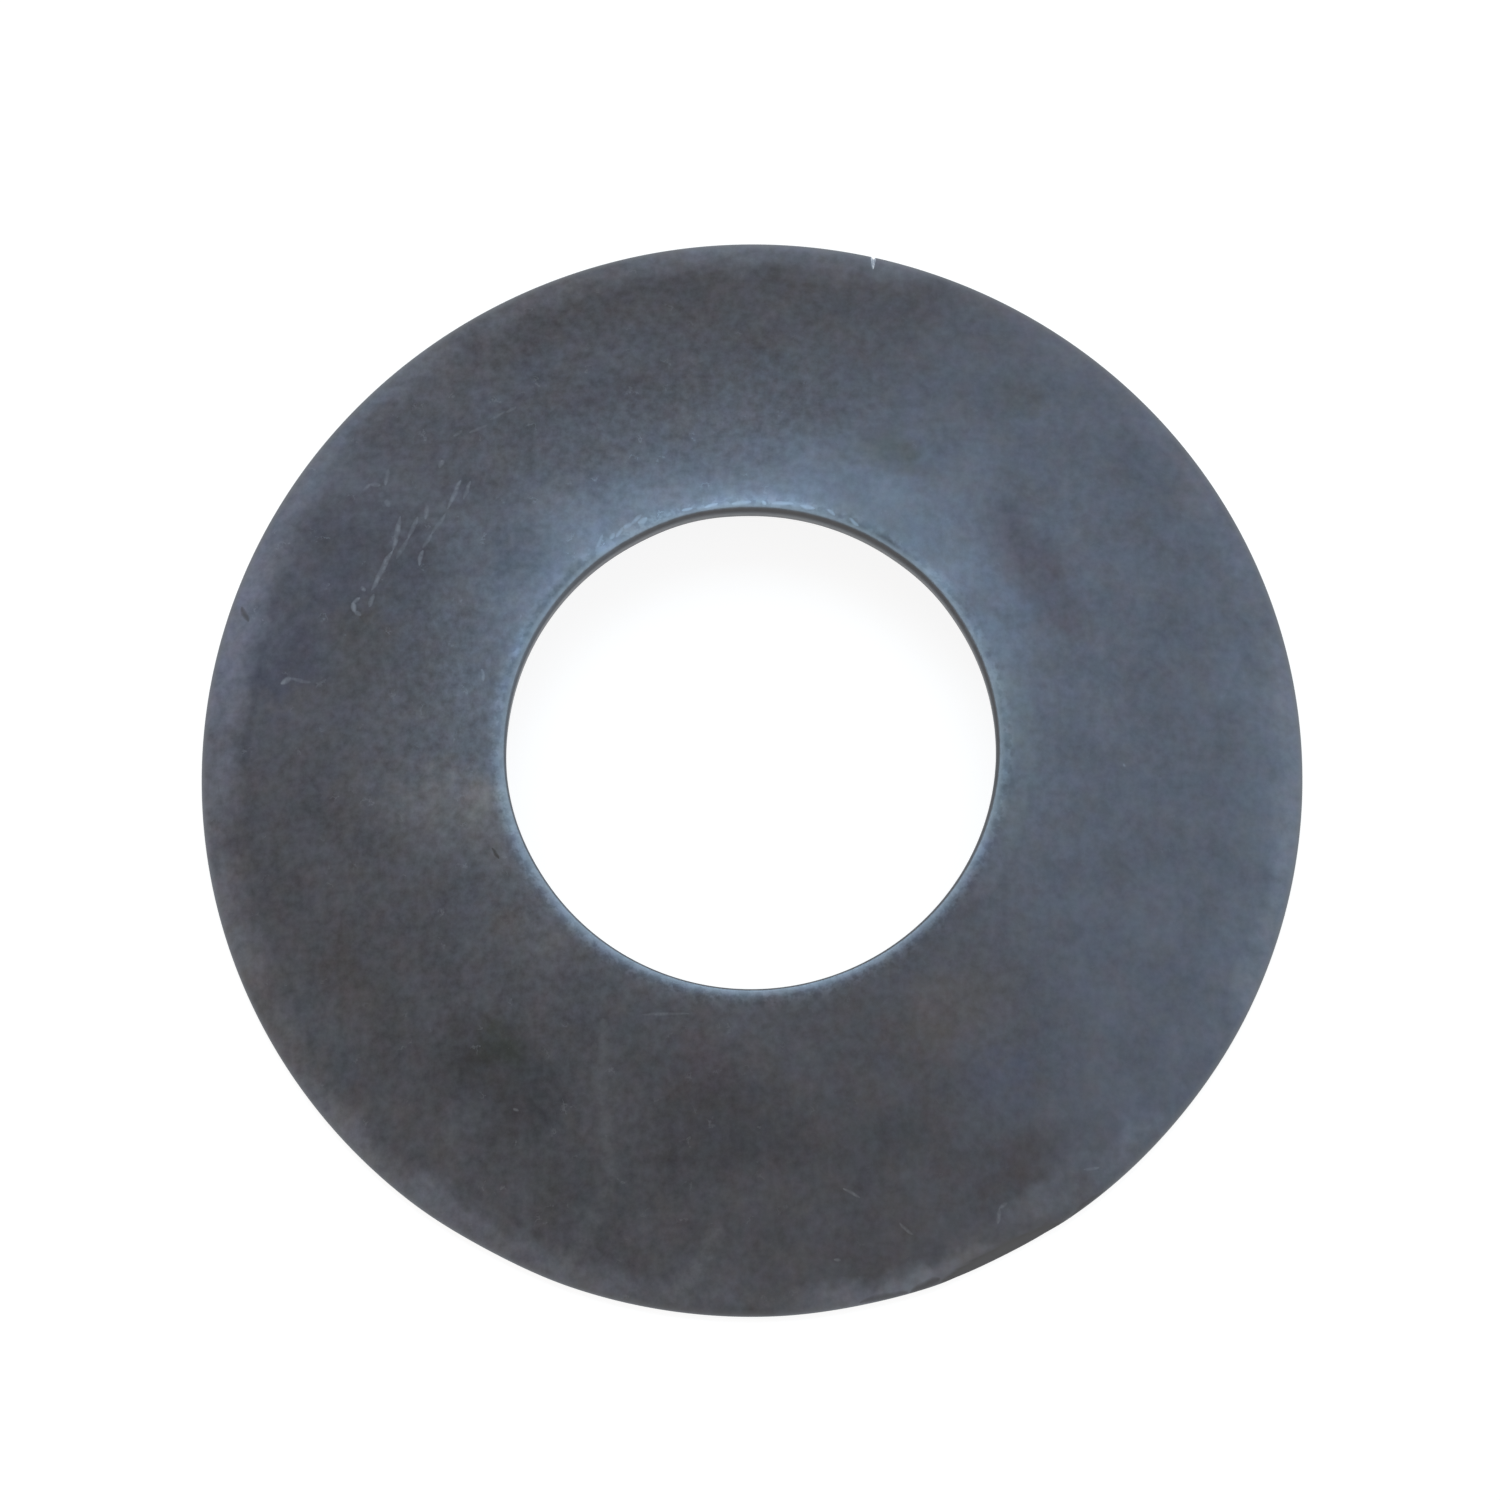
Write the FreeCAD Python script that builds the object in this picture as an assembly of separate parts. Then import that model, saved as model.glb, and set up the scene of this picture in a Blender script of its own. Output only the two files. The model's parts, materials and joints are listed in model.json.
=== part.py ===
import FreeCAD, Part
import math
import os

# Thrust washer: a dished ring pressed from thin sheet, convex side up.
# Sizes in mm, angles in degrees. The bore's axis is Z, and the ring stands on z = 0 on its outer foot.

# Ring
outer_radius = 21.9
hole_radius = 9.665
sheet_thickness = 0.8

# Dish: a ball-shaped crown, which the punch rolled down a little along the rim
crown_radius = 45.3
rim_roll_width = 1.6
rim_roll_radius = 9.0

# Edges: rounded lip of the hole, broken corner of the rim, broken foot edges
lip_rounding = 0.25
rim_break = 0.25
foot_break = 0.12
land_break = 0.08

# Nick in the rim, seen on the far side
nick_direction = 76.8
nick_skew = 28.0
nick_length = 0.52
nick_width = 0.17
nick_depth = 0.09
nick_dip = 10.0

# Flattened stretch of the rim, seen low on the right
flat_direction = -64.5
flat_width = 0.42
flat_slope = 55.0


def at(centre, radius, tilt):
    """Point of a circle in the section plane; tilt is measured from straight up towards outside."""
    return (centre[0] + radius * math.sin(tilt), centre[1] + radius * math.cos(tilt))


def tilt_of(centre, point):
    """Tilt of a point as seen from a centre."""
    return math.atan2(point[0] - centre[0], point[1] - centre[1])


def vec(point):
    """Section point as a vector in the XZ plane."""
    return FreeCAD.Vector(point[0], 0.0, point[1])


def arc(centre, start, end):
    """Arc from start to end about a centre, the short way round."""
    radius = math.hypot(start[0] - centre[0], start[1] - centre[1])
    first = tilt_of(centre, start)
    turn = tilt_of(centre, end) - first
    turn = (turn + math.pi) % (2.0 * math.pi) - math.pi
    middle = at(centre, radius, first + 0.5 * turn)
    return Part.Arc(vec(start), vec(middle), vec(end)).toShape()


def line(start, end):
    """Straight edge of the section."""
    return Part.LineSegment(vec(start), vec(end)).toShape()


def spoke(direction):
    """Unit vector outwards in plan."""
    return FreeCAD.Vector(math.cos(math.radians(direction)), math.sin(math.radians(direction)), 0.0)


up = FreeCAD.Vector(0.0, 0.0, 1.0)

# Upper side of the section: crown about the ball's centre at (0, 0), then the roll, tangent to it
ball = (0.0, 0.0)
hollow_radius = crown_radius - sheet_thickness
roll_tilt = math.asin((outer_radius - rim_roll_width) / crown_radius)
roll = at(ball, crown_radius - rim_roll_radius, roll_tilt)
crown_end = at(ball, crown_radius, roll_tilt)

# Outer corner: the broken corner ends at the outer radius
corner_tilt = math.asin((outer_radius - rim_break - roll[0]) / rim_roll_radius)
corner_top = at(roll, rim_roll_radius, corner_tilt)
corner_side = (outer_radius, corner_top[1] - rim_break)

# Outer wall, square to the sheet, down to the broken foot edge on the hollow side
wall_tilt = tilt_of(ball, corner_side)
wall_foot = at(ball, hollow_radius + foot_break, wall_tilt)
foot_under = at(ball, hollow_radius, wall_tilt - foot_break / hollow_radius)

# Hole: broken foot edge, straight land, rounded lip tangent to the crown
land_under_r = hole_radius + land_break
land_under = (land_under_r, math.sqrt(hollow_radius ** 2 - land_under_r ** 2))
land_foot = (hole_radius, land_under[1] + land_break)
lip_r = hole_radius + lip_rounding
lip = (lip_r, math.sqrt((crown_radius - lip_rounding) ** 2 - lip_r ** 2))
land_top = (hole_radius, lip[1])
lip_top = at(lip, lip_rounding, tilt_of(ball, lip))

# Section, closed, from the lip outwards and back underneath
edges = [
    arc(ball, lip_top, crown_end),
    arc(roll, crown_end, corner_top),
    line(corner_top, corner_side),
    line(corner_side, wall_foot),
    line(wall_foot, foot_under),
    arc(ball, foot_under, land_under),
    line(land_under, land_foot),
    line(land_foot, land_top),
    arc(lip, land_top, lip_top),
]
section = Part.Face(Part.Wire(edges))
lift = -min(wall_foot[1], foot_under[1])
section.translate(up * lift)
ring = section.revolve(FreeCAD.Vector(0, 0, 0), up, 360.0)


def roll_height(radius):
    """Height of the upper side in the rolled band."""
    return lift + roll[1] + math.sqrt(rim_roll_radius ** 2 - (radius - roll[0]) ** 2)


# Flattened stretch: a slanting plane takes the upper corner off along a chord
flat_radius = outer_radius - flat_width
flat_point = spoke(flat_direction) * flat_radius + up * roll_height(flat_radius)
reach = 4.0 * sheet_thickness
half_chord = 1.5 * math.sqrt(2.0 * outer_radius * flat_width)
block = Part.makeBox(reach, 2.0 * half_chord, reach, FreeCAD.Vector(0.0, -half_chord, -0.5 * reach))
block.rotate(FreeCAD.Vector(0, 0, 0), FreeCAD.Vector(0, 1, 0), flat_slope - 90.0)
block.rotate(FreeCAD.Vector(0, 0, 0), up, flat_direction)
block.translate(flat_point)
ring = ring.cut(block)

# Nick: a thin V-shaped groove that deepens outwards and runs out over the corner
nick_inner = outer_radius - nick_length
nick_start = spoke(nick_direction) * nick_inner + up * roll_height(nick_inner)
nick_fall = corner_tilt + math.radians(nick_dip)
nick_way = spoke(nick_direction + nick_skew) * math.cos(nick_fall) - up * math.sin(nick_fall)
nick_across = spoke(nick_direction + nick_skew + 90.0)
nick_rise = nick_way.cross(nick_across)
nick_height = 3.0 * nick_depth
nick_half = 0.5 * nick_width * nick_height / nick_depth
nick_back = nick_start - nick_way * nick_length
groove_section = Part.makePolygon([
    nick_back,
    nick_back + nick_rise * nick_height + nick_across * nick_half,
    nick_back + nick_rise * nick_height - nick_across * nick_half,
    nick_back,
])
groove = Part.Face(groove_section).extrude(nick_way * (4.0 * nick_length))
ring = ring.cut(groove)

if len(ring.Solids) != 1 or not ring.isValid():
    raise ValueError("the ring is not one sound solid")
print("volume", round(ring.Volume, 3), "mm3, corner tilt", round(math.degrees(corner_tilt), 2))
print("land from", round(lift + land_foot[1], 4), "to", round(lift + land_top[1], 4))
print("top", round(lift + lip[1] + lip_rounding, 4), "lip radius", round(lip_top[0], 4))
print("hollow height", round(lift + hollow_radius, 4), "foot radius", round(wall_foot[0], 3))

os.makedirs("parts", exist_ok=True)
ring.Solids[0].exportStep("parts/thrust_washer.step")
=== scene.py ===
import json
import math

import bpy
from mathutils import Matrix, Vector


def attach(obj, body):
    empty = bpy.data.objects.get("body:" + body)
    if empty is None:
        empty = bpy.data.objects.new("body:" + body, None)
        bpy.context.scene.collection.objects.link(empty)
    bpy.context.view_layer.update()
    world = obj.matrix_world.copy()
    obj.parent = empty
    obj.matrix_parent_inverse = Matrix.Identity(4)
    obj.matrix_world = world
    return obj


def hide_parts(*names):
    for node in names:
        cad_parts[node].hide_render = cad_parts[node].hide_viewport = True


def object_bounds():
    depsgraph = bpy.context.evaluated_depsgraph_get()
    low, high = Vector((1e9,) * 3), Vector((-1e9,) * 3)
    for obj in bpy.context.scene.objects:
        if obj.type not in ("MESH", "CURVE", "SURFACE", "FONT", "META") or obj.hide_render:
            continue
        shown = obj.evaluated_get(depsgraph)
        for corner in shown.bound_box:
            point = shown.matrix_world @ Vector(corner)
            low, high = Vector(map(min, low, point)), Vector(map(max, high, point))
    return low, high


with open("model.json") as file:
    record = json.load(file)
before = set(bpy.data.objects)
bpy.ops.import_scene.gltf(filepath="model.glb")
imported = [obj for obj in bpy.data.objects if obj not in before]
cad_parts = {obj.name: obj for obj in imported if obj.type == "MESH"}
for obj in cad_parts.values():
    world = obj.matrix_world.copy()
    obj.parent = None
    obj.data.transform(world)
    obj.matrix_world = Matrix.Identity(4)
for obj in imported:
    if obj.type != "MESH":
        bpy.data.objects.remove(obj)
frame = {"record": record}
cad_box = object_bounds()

bl_info = {
    "name": "Thrust washer",
    "version": (1, 0, 0),
    "blender": (4, 5, 0),
    "location": "3D View > Sidebar > Thrust washer",
    "description": "A dished steel thrust washer with a worn oxide finish, on a pale floor",
    "category": "Object",
}

# The ring stands on z = 0 with the bore's axis along +Z.
# Lengths are in metres, unless a name or comment says mm.
MM = 0.001
NODE = "thrust_washer"
BODY = "root"

bore = next(mount for mount in frame["record"]["mounts"] if mount["name"] == "pin_bore")
bore_radius = bore["dims"]["r_mm"] * MM
rim_radius = min(-cad_box[0][0], -cad_box[0][1], cad_box[1][0], cad_box[1][1])


def length(name, description, default):
    """Property for a length in metres."""
    return bpy.props.FloatProperty(
        name=name, description=description, default=default,
        subtype="DISTANCE", unit="LENGTH", precision=5,
    )


def angle(name, description, degrees):
    """Property for an angle, given in degrees."""
    return bpy.props.FloatProperty(
        name=name, description=description, default=math.radians(degrees),
        subtype="ANGLE", unit="ROTATION",
    )


def colour(name, description, default):
    """Property for a linear colour."""
    return bpy.props.FloatVectorProperty(
        name=name, description=description, default=default,
        subtype="COLOR", size=3, min=0.0, max=1.0,
    )


def portion(name, description, default):
    """Property for a number between 0 and 1."""
    return bpy.props.FloatProperty(
        name=name, description=description, default=default,
        subtype="FACTOR", min=0.0, max=1.0,
    )


def amount(name, description, default):
    """Property for a plain number."""
    return bpy.props.FloatProperty(name=name, description=description, default=default, min=0.0)


class WasherSizes(bpy.types.PropertyGroup):
    """Sizes of the pressed ring."""

    outer_radius: length("Outer radius", "Radius of the rim", rim_radius)
    hole_radius: length("Hole radius", "Radius of the bore", bore_radius)
    sheet: length("Sheet thickness", "Thickness of the steel sheet", 0.8 * MM)
    crown_radius: length("Crown radius", "Ball radius of the convex side", 45.3 * MM)
    roll_width: length("Rim roll width", "Width of the band that is rolled down along the rim", 1.6 * MM)
    roll_radius: length("Rim roll radius", "Section radius of that band", 9.0 * MM)
    lip_direction: angle("Lip direction", "Where the lip is fullest, from +X towards +Y", 62.0)
    lip_rounding: length("Lip rounding", "Rounding of the hole's upper lip where it is full", 0.20 * MM)
    draw_width: length("Draw width", "Width of the band that the punch drew down there", 1.0 * MM)
    draw_depth: length("Draw depth", "How far that band sinks at the lip", 0.11 * MM)
    tight_rounding: length("Tight rounding", "Rounding of the lip on the opposite side", 0.08 * MM)
    tight_draw_width: length("Tight draw width", "Width of the drawn band opposite", 1.0 * MM)
    tight_draw_depth: length("Tight draw depth", "How far it sinks opposite", 0.09 * MM)
    rim_break: length("Rim break", "Height of the broken corner of the rim", 0.25 * MM)
    foot_break: length("Foot break", "Broken edge of the outer foot", 0.12 * MM)
    land_break: length("Land break", "Broken edge under the hole's land", 0.08 * MM)


class WasherWear(bpy.types.PropertyGroup):
    """Damage to the rim."""

    nick_direction: angle("Nick direction", "Where the nick starts, from +X towards +Y", 75.3)
    nick_skew: angle("Nick skew", "How far the nick turns from straight outwards", 12.5)
    nick_length: length("Nick length", "Distance of the nick's start from the rim", 0.66 * MM)
    nick_slope: amount("Nick slope", "Height of the V-shaped groove over its half width", 1.35)
    nick_dip: angle("Nick dip", "How steeply the nick deepens outwards", 9.0)
    flat_direction: angle("Flat direction", "Middle of the flattened stretch", -64.5)
    flat_width: length("Flat width", "Width of the flattened stretch in plan", 0.42 * MM)
    flat_slope: angle("Flat slope", "Slope of the flattened stretch", 55.0)
    flat_softness: length("Flat softness", "Rounding where the stretch meets the crown", 0.04 * MM)


class OxideFinish(bpy.types.PropertyGroup):
    """Colours and gloss of the oxide skin, with the colours of its painted light and shade."""

    blue_grey: colour("Blue-grey oxide", "Main colour of the skin", (0.107, 0.122, 0.146))
    brown_grey: colour("Brown-grey oxide", "Warm clouds in the skin", (0.113, 0.116, 0.127))
    # The sheared edges' grey is lighter than the skin as painted light, which lifts their shaded strips
    # at the hole and the rim
    sheared_grey_painted_light: colour("Edge grey", "Dull skin of the sheared edges", (0.180, 0.187, 0.198))
    # Painted shade: a darker grey keeps the steep flattened stretch dark
    flat_painted_shade: colour("Rubbed grey", "Dull skin of the flattened stretch", (0.108, 0.108, 0.111))
    # Also the painted shade at the ends of the flattened stretch
    tick_and_shade_dark: colour("Soot", "Dark ticks", (0.060, 0.058, 0.056))
    # Also the colour of the painted glints along the lip and of the grit dents
    scratch_and_glint_steel: colour("Scratch", "Fine scratches through the skin", (0.24, 0.27, 0.31))
    bare_steel: colour("Bare steel", "Fresh metal in the nick", (0.50, 0.54, 0.60))
    roughness: portion("Roughness", "Roughness of the skin", 0.32)
    edge_roughness: portion("Edge roughness", "Roughness of the sheared edges", 0.55)
    grain: length("Grain", "Height of the fine unevenness of the skin", 0.003 * MM)


class StageSettings(bpy.types.PropertyGroup):
    """Camera and light."""

    camera_tilt: angle("Camera tilt", "Tilt of the camera from straight down, towards -Y", 13.12)
    camera_roll: angle("Camera roll", "Turn of the camera about its own axis", -1.5)
    camera_distance: length("Camera distance", "Distance from the aim point", 0.665)
    lens: bpy.props.FloatProperty(
        name="Lens", description="Focal length on a sensor 36 mm wide", default=401.1, unit="CAMERA"
    )
    world_level: amount("World level", "Brightness of the plain surroundings", 0.6)
    floor_glow: portion("Floor glow", "Share of the floor's white that needs no light", 0.86)


# Marks on the upper side. A tint multiplies the skin's colour.
# A strength above 1 widens the middle of a mark, where its tint is full.

# Stains, and painted highlights and painted shade along the rim and around the hole: direction in
# degrees from +X towards +Y, radius in mm, spread to each side in degrees, half width in mm, strength,
# tint.
# No mark crosses the seam of the directions, which is in degrees too.
SEAM = -39.0
STAINS_AND_PAINTED_LIGHT = (
    # On the broad face
    (27.0, 11.4, 14.0, 1.3, 1.5, (1.06, 1.10, 1.14)),
    (32.0, 13.6, 17.0, 1.5, 1.5, (0.86, 0.77, 0.76)),
    (53.0, 18.4, 4.0, 1.4, 1.4, (0.95, 0.94, 0.86)),
    (64.0, 13.6, 8.0, 1.1, 1.5, (0.85, 0.86, 0.79)),
    (83.0, 15.9, 5.0, 2.0, 1.4, (1.07, 1.12, 1.13)),
    (111.0, 16.3, 7.0, 1.2, 1.4, (0.88, 0.88, 0.90)),
    (112.0, 17.9, 18.0, 1.6, 1.4, (1.09, 1.13, 1.18)),
    (136.0, 12.0, 11.0, 1.9, 1.5, (0.82, 0.83, 0.84)),
    (150.0, 15.6, 9.0, 1.7, 1.5, (0.82, 0.83, 0.85)),
    (152.0, 18.4, 13.0, 2.6, 1.6, (0.80, 0.80, 0.82)),
    (162.0, 16.2, 8.0, 1.9, 1.5, (0.88, 0.86, 0.80)),
    (166.0, 18.8, 7.0, 2.1, 1.6, (0.81, 0.82, 0.88)),
    (167.0, 11.8, 9.0, 1.8, 1.5, (1.16, 1.15, 1.12)),
    (181.0, 13.8, 13.0, 3.4, 1.4, (1.16, 1.17, 1.17)),
    (189.0, 12.1, 11.0, 3.3, 1.5, (1.26, 1.22, 1.15)),
    (196.0, 10.8, 17.0, 1.2, 1.6, (1.20, 1.16, 1.09)),
    (209.0, 18.5, 8.0, 1.7, 1.3, (0.96, 0.92, 0.88)),
    (212.0, 17.4, 8.0, 1.2, 1.4, (0.90, 0.92, 0.91)),
    (219.0, 11.4, 11.0, 1.6, 1.5, (1.16, 1.12, 1.06)),
    (228.2, 15.2, 5.0, 1.1, 1.4, (0.88, 0.90, 0.77)),
    (231.0, 16.1, 13.0, 2.4, 1.7, (0.74, 0.76, 0.76)),
    (243.0, 13.0, 14.0, 1.8, 1.5, (0.88, 0.89, 0.88)),
    (246.0, 18.2, 14.0, 1.8, 1.5, (0.86, 0.89, 0.89)),
    (259.0, 12.8, 8.0, 1.5, 1.4, (0.97, 0.88, 0.88)),
    (264.0, 15.2, 16.0, 2.6, 1.6, (0.80, 0.80, 0.80)),
    (287.0, 16.4, 9.0, 1.5, 1.5, (0.84, 0.86, 0.85)),
    (303.0, 19.3, 7.0, 1.3, 1.6, (0.84, 0.78, 0.74)),
    (305.0, 13.1, 16.0, 2.4, 1.4, (1.12, 1.04, 0.96)),
    (305.0, 16.1, 6.0, 2.2, 1.4, (0.98, 1.02, 1.12)),
    # Along the rim: painted highlights, with a few darker lines of painted shade
    (25.0, 21.9, 60.0, 1.8, 1.6, (1.12, 1.10, 1.11)),
    (83.0, 21.8, 19.0, 1.7, 2.0, (1.24, 1.29, 1.32)),
    (104.0, 21.9, 40.0, 1.6, 2.0, (1.24, 1.28, 1.32)),
    (118.0, 21.85, 52.0, 0.4, 1.6, (0.94, 0.92, 0.88)),
    (126.0, 19.6, 10.0, 2.5, 1.4, (1.12, 1.14, 1.16)),
    (136.0, 21.7, 13.0, 1.7, 1.8, (1.20, 1.25, 1.28)),
    (168.0, 20.1, 22.0, 0.3, 1.5, (0.87, 0.87, 0.89)),
    (172.0, 21.9, 32.0, 1.8, 2.2, (1.38, 1.40, 1.47)),
    (208.0, 21.9, 28.0, 1.5, 2.0, (1.27, 1.26, 1.23)),
    (210.0, 19.9, 9.0, 1.6, 1.4, (1.09, 1.15, 1.18)),
    (238.0, 21.9, 30.0, 1.5, 2.0, (1.38, 1.43, 1.48)),
    (263.0, 21.95, 16.0, 0.3, 1.7, (0.86, 0.86, 0.84)),
    (264.0, 20.9, 8.0, 1.3, 1.5, (1.13, 1.17, 1.18)),
    (283.0, 21.6, 14.0, 0.85, 1.9, (1.46, 1.54, 1.60)),
    (288.0, 21.5, 12.0, 0.5, 1.8, (1.28, 1.26, 1.24)),
    (301.0, 21.1, 13.0, 1.0, 1.6, (1.25, 1.25, 1.23)),
    (313.0, 21.6, 6.5, 1.0, 1.8, (1.22, 1.24, 1.24)),
    (-12.0, 21.9, 26.0, 1.3, 2.0, (1.20, 1.20, 1.18)),
    (-1.0, 21.0, 36.0, 2.6, 1.4, (1.14, 1.19, 1.19)),
    # Around the hole: painted shade and painted light that set how bright the lip's highlight shows
    (28.0, 9.9, 46.0, 0.38, 2.0, (0.82, 0.81, 0.80)),
    (57.0, 10.6, 17.0, 1.6, 1.5, (0.80, 0.81, 0.79)),
    (60.0, 10.05, 98.0, 0.5, 2.0, (0.93, 0.92, 0.90)),
    (60.0, 10.0, 19.0, 0.4, 1.5, (0.78, 0.77, 0.76)),
    (74.0, 9.98, 40.0, 0.26, 1.6, (0.80, 0.79, 0.77)),
    (112.0, 10.15, 14.0, 0.5, 1.5, (0.90, 0.89, 0.87)),
    (133.0, 9.92, 12.0, 0.34, 1.6, (0.76, 0.75, 0.73)),
    (155.0, 9.87, 22.0, 0.27, 1.6, (0.84, 0.83, 0.80)),
    (158.0, 9.9, 34.0, 0.38, 2.0, (0.80, 0.80, 0.80)),
    (184.0, 10.05, 17.0, 0.5, 1.5, (0.88, 0.86, 0.83)),
    (258.0, 9.8, 54.0, 1.1, 1.5, (1.19, 1.19, 1.16)),
    (-27.5, 10.3, 10.5, 0.9, 1.5, (1.18, 1.14, 1.16)),
    (-3.0, 9.87, 24.0, 0.27, 1.6, (0.80, 0.79, 0.76)),
    (-2.0, 10.6, 36.0, 1.0, 1.8, (1.08, 1.12, 1.07)),
)

# Scratches, streaks, painted glints and dark ticks, in mm: start x and y, end x and y, half width,
# strength.
# Below 0 it is a dark tick.
SCRATCHES_AND_PAINTED_LIGHT = (
    # Scratches on the left
    (-13.7, 10.4, -14.0, 9.0, 0.14, 0.55),
    (-14.0, 9.0, -14.9, 7.4, 0.13, 0.60),
    (-13.0, 10.3, -13.4, 9.4, 0.12, 0.45),
    (-13.4, 9.4, -13.9, 8.6, 0.11, 0.35),
    (-12.6, 10.8, -12.7, 10.2, 0.11, 0.40),
    (-12.8, 8.8, -13.0, 8.2, 0.12, 0.45),
    (-11.3, 11.7, -11.8, 10.6, 0.11, 0.50),
    (-10.9, 11.6, -11.2, 10.9, 0.11, 0.50),
    (-11.9, 10.4, -12.5, 9.5, 0.10, 0.35),
    (-12.5, 9.5, -12.8, 8.9, 0.10, 0.40),
    (-14.2, 12.6, -14.3, 11.9, 0.11, 0.40),
    (-15.2, 11.8, -14.9, 12.0, 0.11, 0.40),
    (-14.9, 12.0, -14.5, 11.9, 0.11, 0.45),
    (-14.3, 11.2, -14.2, 10.9, 0.13, 0.50),
    (-12.0, 12.7, -12.1, 12.4, 0.14, 0.60),
    (-15.4, 7.1, -15.7, 6.9, 0.10, 0.65),
    (-15.7, 6.9, -15.6, 6.5, 0.12, 0.75),
    (-15.6, 6.5, -15.3, 6.35, 0.10, 0.55),
    (-14.8, 7.2, -15.0, 6.7, 0.11, 0.45),
    (-15.3, 7.6, -15.2, 7.4, 0.11, 0.60),
    (-18.6, 3.9, -18.2, 4.1, 0.14, 0.75),
    (-18.2, 4.1, -17.4, 3.8, 0.09, 0.40),
    (-10.6, 3.6, -10.5, 3.1, 0.10, 0.40),
    (-10.9, 13.8, -10.2, 14.1, 0.09, 0.30),
    (-10.1, 14.3, -9.5, 14.6, 0.09, 0.30),
    (-9.4, 14.6, -9.0, 14.8, 0.09, 0.30),
    (-11.5, 13.7, -11.2, 13.9, 0.10, 0.35),
    # Single scratches elsewhere
    (-4.6, -10.5, -2.7, -10.6, 0.07, 0.40),
    (3.2, -17.3, 3.8, -17.7, 0.07, 0.60),
    (5.4, -18.6, 5.9, -19.0, 0.07, 0.50),
    (9.3, -18.0, 9.2, -18.6, 0.09, 0.50),
    (9.3, -18.0, 9.6, -17.8, 0.08, 0.45),
    (12.7, -16.5, 13.3, -16.4, 0.07, 0.45),
    (14.75, -0.7, 14.8, -0.75, 0.08, 0.80),
    (2.75, -19.9, 3.0, -19.95, 0.07, 0.50),
    (-9.7, -13.8, -9.5, -13.9, 0.07, 0.55),
    # Broad faint streaks near the camera
    (-6.1, -10.6, -6.3, -13.7, 0.45, 0.18),
    (-6.3, -13.7, -5.9, -16.7, 0.50, 0.17),
    (-5.9, -16.7, -8.0, -20.2, 0.45, 0.18),
    (-1.7, -18.6, -2.5, -19.9, 0.50, 0.23),
    (-2.5, -19.9, -3.5, -20.9, 0.55, 0.26),
    # Painted glints along the lip
    (-0.5, 10.05, 0.2, 10.1, 0.12, 0.35),
    (0.7, 10.15, 0.8, 10.0, 0.09, 0.40),
    (1.1, 10.05, 1.9, 10.0, 0.10, 0.30),
    (2.2, 9.9, 2.8, 9.75, 0.11, 0.35),
    (3.3, 9.7, 3.6, 9.45, 0.09, 0.30),
    (4.2, 9.3, 4.5, 9.0, 0.10, 0.25),
    (-3.9, 9.55, -4.2, 9.35, 0.12, 0.40),
    (-4.1, 9.7, -4.5, 9.3, 0.10, 0.35),
    (-4.5, 9.3, -4.75, 9.15, 0.13, 0.45),
    (-4.8, 9.15, -5.1, 8.75, 0.10, 0.30),
    (-5.2, 8.9, -5.35, 8.7, 0.12, 0.40),
    (-5.7, 8.9, -5.9, 8.4, 0.09, 0.25),
    (-1.1, 10.1, -1.6, 9.95, 0.08, 0.40),
    (-2.1, 9.9, -2.5, 9.8, 0.08, 0.30),
    (-5.5, 7.9, -5.9, 7.5, 0.10, 0.35),
    (8.6, 4.7, 8.9, 4.0, 0.08, 0.35),
    # Dark ticks, and painted shade at the ends of the flattened stretch
    (-20.15, 7.4, -19.9, 6.7, 0.12, -0.60),
    (-10.3, -3.7, -10.05, -4.1, 0.08, -0.80),
    (5.7, -21.1, 6.9, -20.6, 0.20, -0.50),
    (3.7, -21.5, 5.6, -21.1, 0.14, -0.40),
    (11.9, -18.35, 13.6, -17.15, 0.13, -0.40),
)

# Shallow hollows of the outline: middle direction and half spread in degrees, depth in mm.
# They fade out within a band along each edge.
RIM_HOLLOWS = ((240.0, 10.0, 0.050), (281.0, 11.0, 0.036), (320.0, 12.0, 0.014))
HOLE_HOLLOWS = ((103.0, 15.0, 0.042), (190.0, 24.0, 0.040), (42.0, 13.0, 0.024))
HOLLOW_FADE = 1.2 * MM

# The mesh: width of its fine band along the lip in draw widths, degrees between its columns,
# degrees between the finer columns at the nick, and how far they reach to both sides
FINE_BAND = 1.2
COLUMN_STEP = 0.6
NICK_COLUMN_STEP = 0.06
NICK_COLUMNS_REACH = 1.8

# How quickly the lip turns from full to tight, away from the direction where it is fullest
LIP_SWING = 0.6

# Flattened stretch: where its softness ends and how deep it shows in full, both in softnesses
FLAT_SOFT_END = 4.0
FLAT_SHOWS = 0.6

# Nick: how far from its start it can reach, in nick lengths, and how deep it shows in full
NICK_REACH = 3.0
NICK_SHOWS = 0.012 * MM

# Clouds of the skin: shift of the place in mm, clouds per mm, detail, roughness
CLOUDS = {
    "grain": ((0.0, 0.0, 0.0), 2.4, 3.0, 0.65),
    "patch": ((40.0, 70.0, 0.0), 0.42, 3.0, 0.6),
    "warm": ((-60.0, 30.0, 0.0), 0.65, 3.0, 0.65),
    "green": ((20.0, -50.0, 0.0), 1.1, 2.0, 0.6),
    "gaps": ((9.0, 5.0, 0.0), 2.6, 2.0, 0.7),
}
GRAIN_CONTRAST = 0.42
GRAIN_CONTRAST_LEFT = 0.25
GRAIN_GLOSS = 0.12
PATCH_CONTRAST = 0.45
PURPLE_TINT = (1.035, 0.98, 1.035)
# Tint of the painted shade in patches along the lip, which breaks up its highlight
LIP_SHADE_TINT = (0.78, 0.78, 0.79)

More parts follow.
